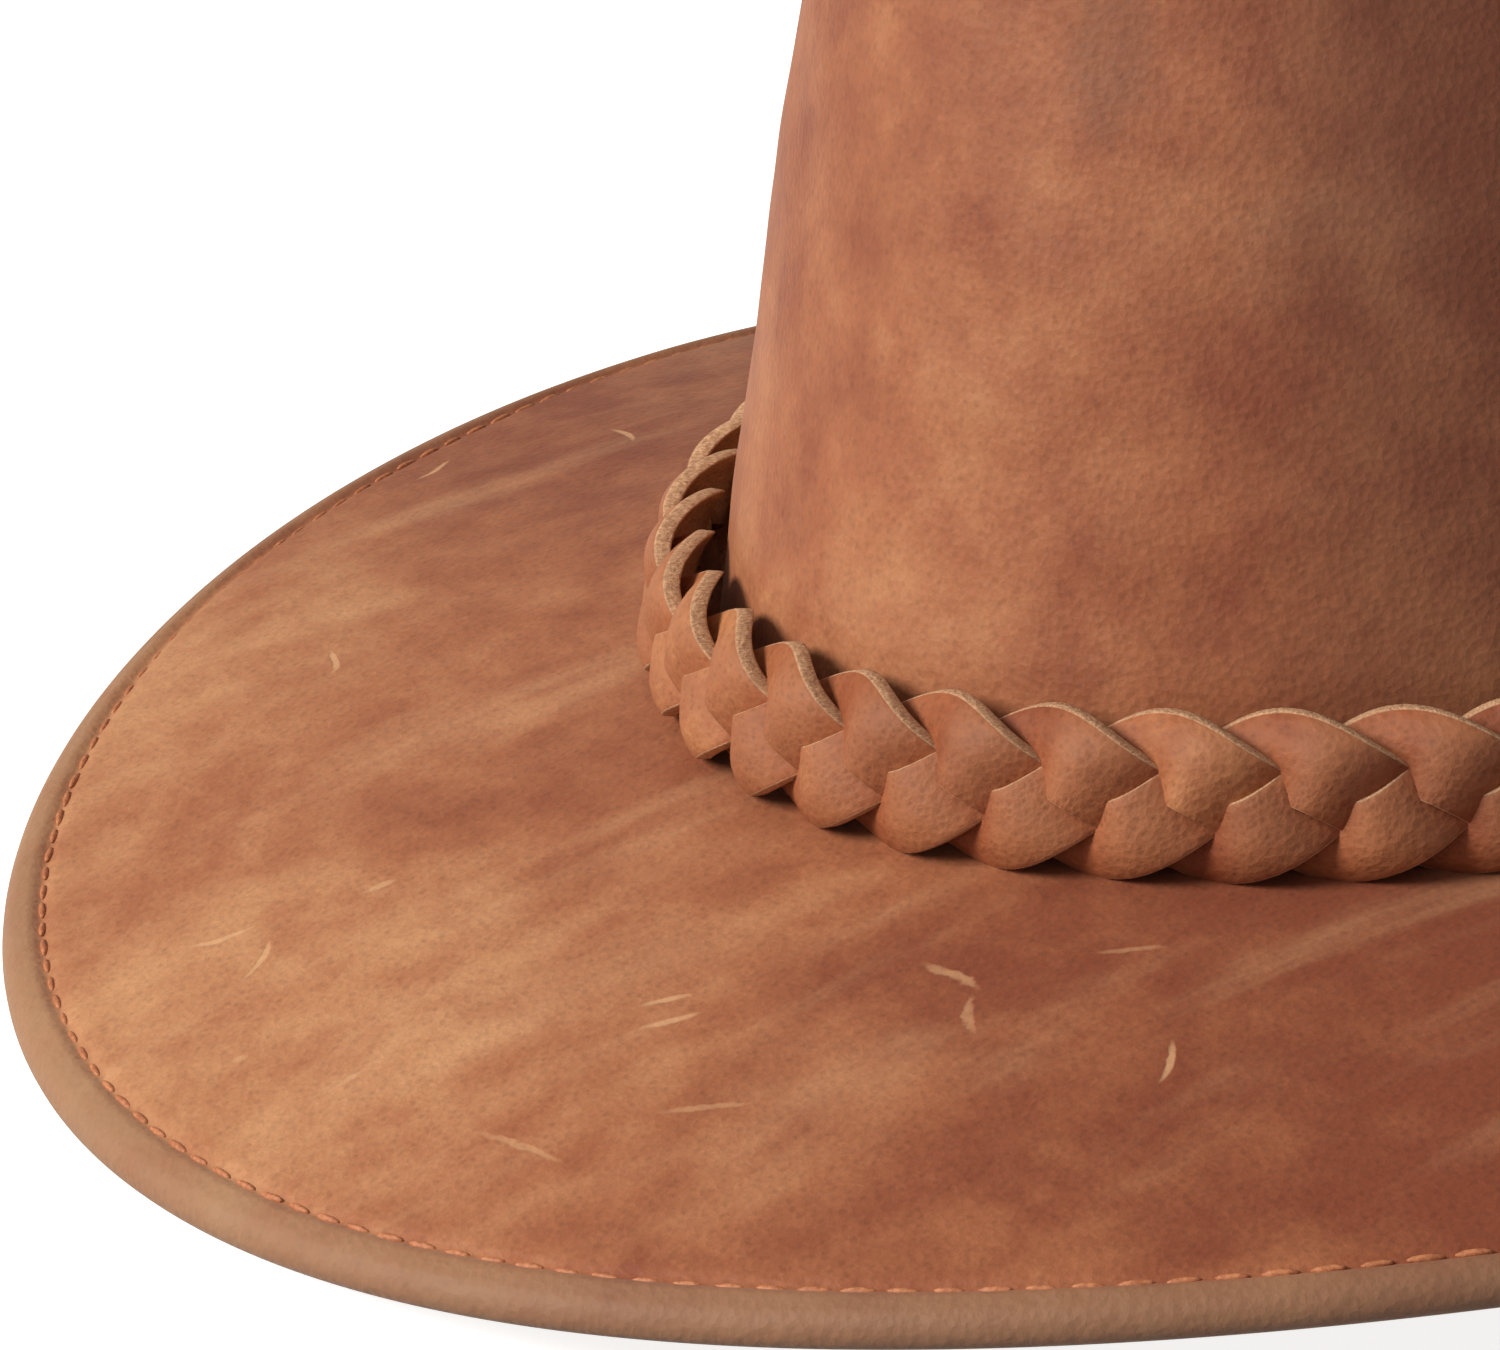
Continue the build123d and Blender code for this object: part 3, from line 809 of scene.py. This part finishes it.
lining = liningLeather()
innerStrip("sweatband", lining, "sweatband")
reedFinish = Finish("reedCloth")
weave = reedFinish.noise(reedFinish.place, 1400.0, 2.0, 0.6)
reedColour = reedFinish.mix(weave, (0.018, 0.010, 0.007), (0.05, 0.028, 0.018))
reedFinish.set(Base_Color=reedColour, Roughness=0.6 + weave * 0.2)
reedFinish.set(Normal=reedFinish.bump(weave, 0.1 * mm, 0.6))
innerStrip("sweatbandReed", reedFinish.material, "sweatband_reed")
innerStrip("sweatbandJoinTab", lining, "sweatband_join_tab")
innerStrip("crownSeamTape", flesh, "crown_seam_tape")
lineTurns = np.linspace(0, 2 * pi, 400, endpoint=False)
headline = {"inset": 4.4, "rise": 6.0}
lower = stack(*wallFoot(lineTurns, headline["inset"], headline["rise"]))
higher = stack(*wallFoot(lineTurns, headline["inset"], headline["rise"] + 1.0))
inward = -np.cross(np.gradient(lower, axis=0), higher - lower)
inward /= np.linalg.norm(inward, axis=1)[:, None]
stitchRow("headlineStitches", lower, inward, True, ("headline_stitches",), 21)
print("lining")

# Edge wire inside the hem, with its two ends meeting at the back.
wire = {"inset": 2.5, "depth": 2.6, "radius": 0.62, "gap": 0.0035, "steps": 360, "sides": 10}
wireTurns = pi / 2 + np.linspace(wire["gap"], 2 * pi - wire["gap"], wire["steps"])
around = np.linspace(0, 2 * pi, wire["sides"], endpoint=False)
lines = []
for angle in around:
    x, y = brimStation(wireTurns, wire["inset"] - wire["radius"] * cos(angle))
    lines.append(stack(x, y, brimHeight(x, y) - wire["depth"] + wire["radius"] * sin(angle)))
lines = np.array(lines).transpose(1, 0, 2)
faces = gridFaces(len(wireTurns), len(around), False, True)
caps = endCaps(len(wireTurns), len(around))
brimWire = makePiece("brimWire", lines.reshape(-1, 3), faces, fan=caps)
steel = Finish("springSteel")
dull = steel.noise(steel.place, 700.0, 3.0, 0.6)
steelColour = steel.mix(dull, (0.42, 0.42, 0.43), (0.62, 0.62, 0.63))
steel.set(Base_Color=steelColour, Metallic=1.0, Roughness=0.3 + dull * 0.2)
finishPiece(brimWire, steel.material, "hat", ("brim_wire",))

# Braided band: three flat strands, each over from its edge to the middle and under to the other edge.
band = {
    "petals": 46,
    "phase": 0.9,
    "foot": 0.1,
    "height": 19.4,
    "proud": 6.8,
    "sway": 4.9,
    "over": 2.1,
    "tilt": 0.06,
    "width": 9.9,
    "thickness": 2.3,
    "dome": 0.35,
    "curl": 2.3,
    "steps": 900,
    "endGap": 1.5,
}
fineTurns = pi / 2 + np.linspace(0, 2 * pi, 3001)
bandLow = stack(*wallFoot(fineTurns, -band["proud"], band["foot"]))
bandHigh = stack(*wallFoot(fineTurns, -band["proud"], band["foot"] + band["height"]))
bandMiddle = (bandLow + bandHigh) / 2
bandAlong = np.concatenate([[0], np.cumsum(np.linalg.norm(np.diff(bandMiddle, axis=0), axis=1))])
bandLength = bandAlong[-1]
bandUp = (bandHigh - bandLow) / np.linalg.norm(bandHigh - bandLow, axis=1)[:, None]
ahead = np.gradient(bandMiddle, axis=0)
bandOut = np.cross(ahead, bandUp)
bandOut /= np.linalg.norm(bandOut, axis=1)[:, None]


# A point on the band: how far round, how far up from its middle and how far out.
def onBand(along, height, depth):
    along = np.mod(along, bandLength)
    axes = []
    for i in range(3):
        lines = (bandMiddle, bandUp, bandOut)
        middle, up, out = (np.interp(along, bandAlong, line[:, i]) for line in lines)
        axes.append(middle + up * height + out * depth)
    return np.stack(axes, axis=-1)


# Points round a strand's cut: across it, its depth and how raw the surface is.
def strandSection():
    half = band["width"] / 2
    thick = band["thickness"] / 2
    corner = 0.35
    across = np.linspace(-1, 1, 13) * (half - corner)
    top = [(v, thick, 0.0) for v in across]
    right = [(half - 0.1, thick - 0.12, 0.7), (half, thick - 0.4, 1.0)]
    right += [(half, 0.4 - thick, 1.0), (half - 0.1, 0.1 - thick, 1.0)]
    low = [(v, -thick, 0.6) for v in across[::-2]]
    left = [(-v, d, raw) for v, d, raw in right[::-1]]
    return np.array(top + right + low + left)


def braidHide():
    finish = Finish("braidHide")
    here = finish.attribute("hide", "Vector")
    raw = finish.value(finish.attribute("raw")).ramp(0.35, 0.75)
    broad = finish.noise(here, 38.0, 4.0, 0.55)
    fine = finish.noise(here, 420.0, 4.0, 0.6)
    speck = finish.noise(here, 2100.0, 3.0, 0.7)
    x, y, _ = finish.parts(finish.place)
    # Painted light: the braid is lighter toward the front-left, where the key light falls.
    paintedFrontLight = y * -1.3 + x * -0.5
    tone = broad * 0.7 + fine * 0.3 + paintedFrontLight - 0.10
    colour = finish.mix(tone.ramp(0.34, 0.56), (0.20, 0.048, 0.018), (0.30, 0.092, 0.035))
    colour = finish.mix(tone.ramp(0.54, 0.72), colour, (0.44, 0.178, 0.07))
    # Painted highlight: strands lighter where they lie over the others.
    lift = finish.value(finish.attribute("lift"))
    colour = finish.mix(lift.ramp(0.45, 0.95) * 0.3, colour, (0.40, 0.18, 0.085))
    fibre = finish.noise(finish.stretched(here, (3.0, 3.0, 1.0)), 1500.0, 3.0, 0.7)
    cutEdge = finish.mix(fibre.ramp(0.3, 0.7), (0.34, 0.17, 0.09), (0.62, 0.38, 0.22))
    colour = finish.mix(raw, colour, cutEdge)
    grain = finish.cells(here, 1100.0)
    colour = finish.shaded(colour, speck * 0.5 + grain.ramp(0.05, 0.5) * 0.2 + 0.65)
    finish.set(Base_Color=colour, Roughness=0.54 + speck * 0.12 + raw * 0.25, Specular_IOR_Level=0.26)
    finish.set(Normal=finish.bump(grain * 0.5 + fine * 0.9 + speck * 0.4 + raw * fibre, 0.28 * mm, 0.7))
    return finish.material


braidMaterial = braidHide()
section = strandSection()
rate = 2 * pi * band["petals"] / (3 * bandLength)
for index in range(3):
    along = np.linspace(band["endGap"], bandLength - band["endGap"], band["steps"])
    phase = along * rate + 2 * pi * index / 3 + band["phase"]
    height = band["sway"] * np.cos(phase)
    climb = -band["sway"] * np.sin(phase) * rate
    size = np.hypot(1, climb)
    acrossAlong, acrossUp = -climb / size, 1 / size
    wobble = waves(stack(along, 0 * along, 40.0 * index + 0 * along), 30.0, 30 + index)
    wobble = wobble[:, None]
    overUnder = np.sin(2 * phase)[:, None]
    v = section[None, :, 0] * (1 + 0.02 * wobble)
    share = v / (band["width"] / 2)
    outside = np.clip(share * np.cos(phase)[:, None], 0, 1)
    depth = band["over"] * overUnder + band["tilt"] * np.sin(phase)[:, None] * v + 0.15 * wobble
    depth = depth + section[None, :, 1] + band["dome"] * (0.5 - share**2) - band["curl"] * outside**2
    places = along[:, None] + acrossAlong[:, None] * v
    points = onBand(places, height[:, None] + acrossUp[:, None] * v, depth)
    count = len(section)
    faces = gridFaces(len(along), count, False, True)
    path = np.concatenate([[0], np.cumsum(np.hypot(np.diff(along), np.diff(height)))])
    place = stack(path[:, None] * mm, v * mm, 0.7 * index + section[None, :, 1] * mm)
    rawness = np.broadcast_to(section[None, :, 2], v.shape)
    # Painted light: 1 where a strand lies over the others, 0 where it dips under.
    paintedOverLight = 0.5 + 0.5 * overUnder + 0 * v
    values = (("hide", place.reshape(-1, 3)), ("raw", rawness.ravel()), ("lift", paintedOverLight.ravel()))
    caps = endCaps(len(along), count)
    strand = makePiece(f"braidStrand{index + 1}", points.reshape(-1, 3), faces, values, caps, (0, 0, 40))
    finishPiece(strand, braidMaterial, "hatband", (f"braid_strand_{index + 1}",))
print("braid")

# Keeper: a loop of thin leather round the braid's joined ends at the back.
keeper = {"length": 17.0, "thickness": 0.9, "halfHeight": 11.1, "halfDepth": 4.6, "corner": 2.6}
outline = []
for corner, (signX, signY) in enumerate(fourCorners):
    for step in range(7):
        angle = pi / 2 * (corner + step / 6)
        x = (keeper["halfHeight"] - keeper["corner"]) * signX + keeper["corner"] * cos(angle)
        y = (keeper["halfDepth"] - keeper["corner"]) * signY + keeper["corner"] * sin(angle)
        outline.append((x, y))
outline = np.array(outline)
outlineNormal = outline / np.linalg.norm(outline, axis=1)[:, None]
lines = []
outside = ((-0.5, 0.0), (-0.485, 0.9), (-0.42, 1.0), (-0.2, 1.0), (0.0, 1.0))
outside += tuple((-share, full) for share, full in outside[-2::-1])
inside = ((0.45, -0.02), (0.0, -0.02), (-0.45, -0.02))
for share, full in outside + inside:
    ring = outline + outlineNormal * keeper["thickness"] * full
    lines.append(onBand(keeper["length"] * share + 0 * ring[:, 0], ring[:, 0], ring[:, 1] + 0.1))
lines = np.array(lines)
rawness = np.zeros(lines.shape[:2])
rawness[[0, 1, 7, 8, 9, 10, 11]] = 0.9
# Below the braid's ramp, so no painted over-light on the keeper.
paintedOverLight = np.full(rawness.size, 0.3)
values = (("hide", lines.reshape(-1, 3) * mm), ("raw", rawness.ravel()), ("lift", paintedOverLight))
faces = gridFaces(len(lines), len(outline), True, True)
loop = makePiece("bandKeeper", lines.reshape(-1, 3), faces, values)
finishPiece(loop, braidMaterial, "hatband", ("band_keeper",))
print("keeper")

# Camera.
camera = {
    "azimuth": 62.38,
    "elevation": 19.863,
    "roll": -0.148,
    "distance": 0.71,
    "lens": 143.3,
    "target": (-3.487, -106.648, brimLevel),
}
lens = bpy.data.cameras.new("camera")
lens.lens = camera["lens"]
lens.sensor_width = 36.0
lens.clip_start = 0.01
lens.clip_end = 50
eye = bpy.data.objects.new("camera", lens)
scene.collection.objects.link(eye)
azimuth, elevation = radians(camera["azimuth"]), radians(camera["elevation"])
back = Vector((sin(azimuth) * cos(elevation), -cos(azimuth) * cos(elevation), sin(elevation)))
right = Vector((cos(azimuth), sin(azimuth), 0.0))
turn = Matrix((right, back.cross(right), back)).transposed().to_4x4()
roll = Matrix.Rotation(radians(camera["roll"]), 4, "Z")
place = Vector(camera["target"]) * mm + back * camera["distance"]
eye.matrix_world = Matrix.Translation(place) @ turn @ roll
scene.camera = eye

# Floor and light.
floorHalf = 4
floorMesh = bpy.data.meshes.new("floor")
floorCorners = [(floorHalf * x, floorHalf * y, 0) for x, y in fourCorners]
floorMesh.from_pydata(floorCorners, [], [(0, 1, 2, 3)])
floor = bpy.data.objects.new("floor", floorMesh)
scene.collection.objects.link(floor)
floorFinish = Finish("paleFloor")
floorFinish.set(Base_Color=(0.6, 0.6, 0.6, 1.0), Roughness=0.9, Specular_IOR_Level=0.0)
floorFinish.set(Emission_Color=(1.0, 0.995, 0.985, 1.0), Emission_Strength=0.85)
floor.visible_diffuse = False
floor.data.materials.append(floorFinish.material)

world = bpy.data.worlds.new("studio")
world.use_nodes = True
sky = world.node_tree
way = addNode(sky, "ShaderNodeTexCoord")
split = addNode(sky, "ShaderNodeSeparateXYZ", None, {0: way.outputs["Generated"]})
inputs = {"Value": split.outputs[2], "From Min": -0.35, "From Max": 0.25}
rise = addNode(sky, "ShaderNodeMapRange", None, inputs)
inputs = {0: rise.outputs[0], 6: (0.16, 0.14, 0.125, 1.0), 7: (1.0, 0.985, 0.965, 1.0)}
shade = addNode(sky, "ShaderNodeMix", {"data_type": "RGBA"}, inputs)
sky.links.new(shade.outputs[2], sky.nodes["Background"].inputs[0])
sky.nodes["Background"].inputs[1].default_value = 0.32
scene.world = world


def areaLight(name, place, aim, size, power, colour):
    lamp = bpy.data.lights.new(name, "AREA")
    lamp.shape = "DISK"
    lamp.size = size
    lamp.energy = power
    lamp.color = colour
    holder = bpy.data.objects.new(name, lamp)
    scene.collection.objects.link(holder)
    holder.location = place
    holder.rotation_euler = (Vector(aim) - Vector(place)).to_track_quat("-Z", "Y").to_euler()


areaLight("keyLight", (-0.35, -1.85, 1.05), (0, 0, 0.06), 1.0, 50.0, (1.0, 0.97, 0.91))
areaLight("fillLight", (1.6, -1.0, 1.9), (0, 0, 0.06), 1.6, 3.0, (1.0, 0.98, 0.96))
scene.view_settings.view_transform = "Standard"
